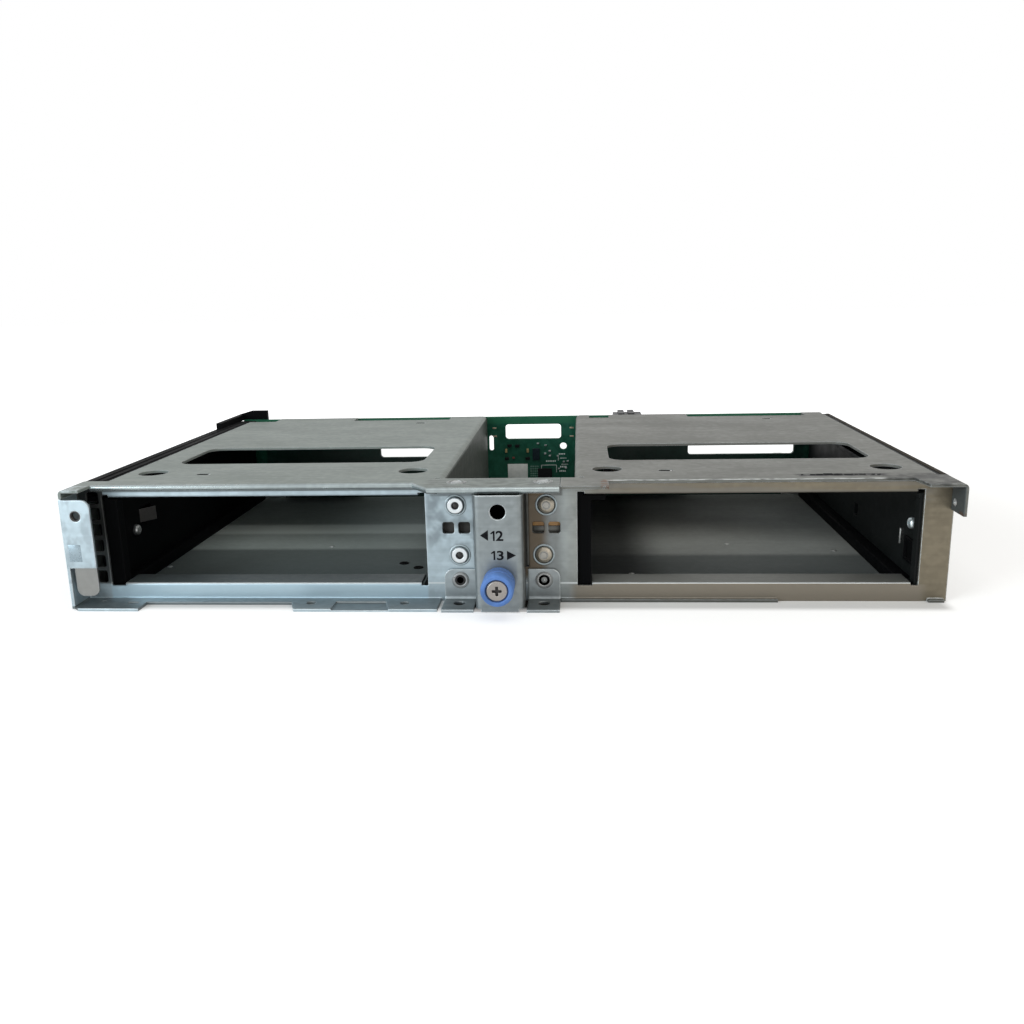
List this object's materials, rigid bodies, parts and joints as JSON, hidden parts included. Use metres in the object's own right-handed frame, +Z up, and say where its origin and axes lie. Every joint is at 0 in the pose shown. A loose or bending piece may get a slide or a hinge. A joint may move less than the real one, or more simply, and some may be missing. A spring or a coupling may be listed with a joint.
{
  "type": "hard drive cage",
  "caption": "Flat folded-steel cage that holds hard drive trays side by side, with moulded guides, a connector board across the back and a blue captive thumbscrew at the front.",
  "frame": {"origin": "middle of the floor's underside", "axes": "+X across the front to the viewer's right, +Y from the front openings to the connector board, +Z up"},
  "size_m": [0.293, 0.1979, 0.0456],
  "materials": {
    "galvanised_sheet": "dull zinc coat",
    "leaf_steel": "dull",
    "guide_plastic": "fine texture",
    "knob_plastic": "satin",
    "fastener_steel": "plated",
    "rivet_steel": "dull plated",
    "board_laminate": "satin solder mask",
    "connector_plastic": "moulded",
    "chip_plastic": "matt"
  },
  "bodies": {
    "cage": {"tray": "galvanised_sheet", "front_panel": "galvanised_sheet", "left_cover": "galvanised_sheet", "right_cover": "galvanised_sheet", "centre_bracket": "galvanised_sheet", "left_foot": "galvanised_sheet", "right_foot": "galvanised_sheet", "left_leaf": "leaf_steel", "left_guide": "guide_plastic", "right_guide": "guide_plastic", "left_inner_guide": "guide_plastic", "right_inner_guide": "guide_plastic", "backplane_board": "board_laminate", "left_drive_connector": "connector_plastic", "right_drive_connector": "connector_plastic", "power_connector": "connector_plastic", "signal_connector": "connector_plastic", "controller_chip": "chip_plastic", "hollow_rivets": "fastener_steel", "solid_rivets": "rivet_steel", "cover_rivets": "galvanised_sheet", "pad_nuts": "fastener_steel", "pad_screw": "fastener_steel", "guide_screws": "fastener_steel", "board_screws": "fastener_steel", "left_spring": "leaf_steel"},
    "thumbscrew_carrier": {"retaining_ring": "fastener_steel"},
    "thumbscrew": {"thumbscrew_knob": "knob_plastic", "thumbscrew_screw": "fastener_steel"}
  },
  "joints": [
    {"name": "thumbscrew_travel", "type": "slide", "parent": "cage", "child": "thumbscrew_carrier", "axis": [0, -1, 0], "range_m": [0, 0.0028]},
    {"name": "thumbscrew_turn", "type": "hinge", "parent": "thumbscrew_carrier", "child": "thumbscrew", "pos_m": [0, -0.092, 0.0106], "axis": [0, -1, 0], "continuous": true}
  ]
}
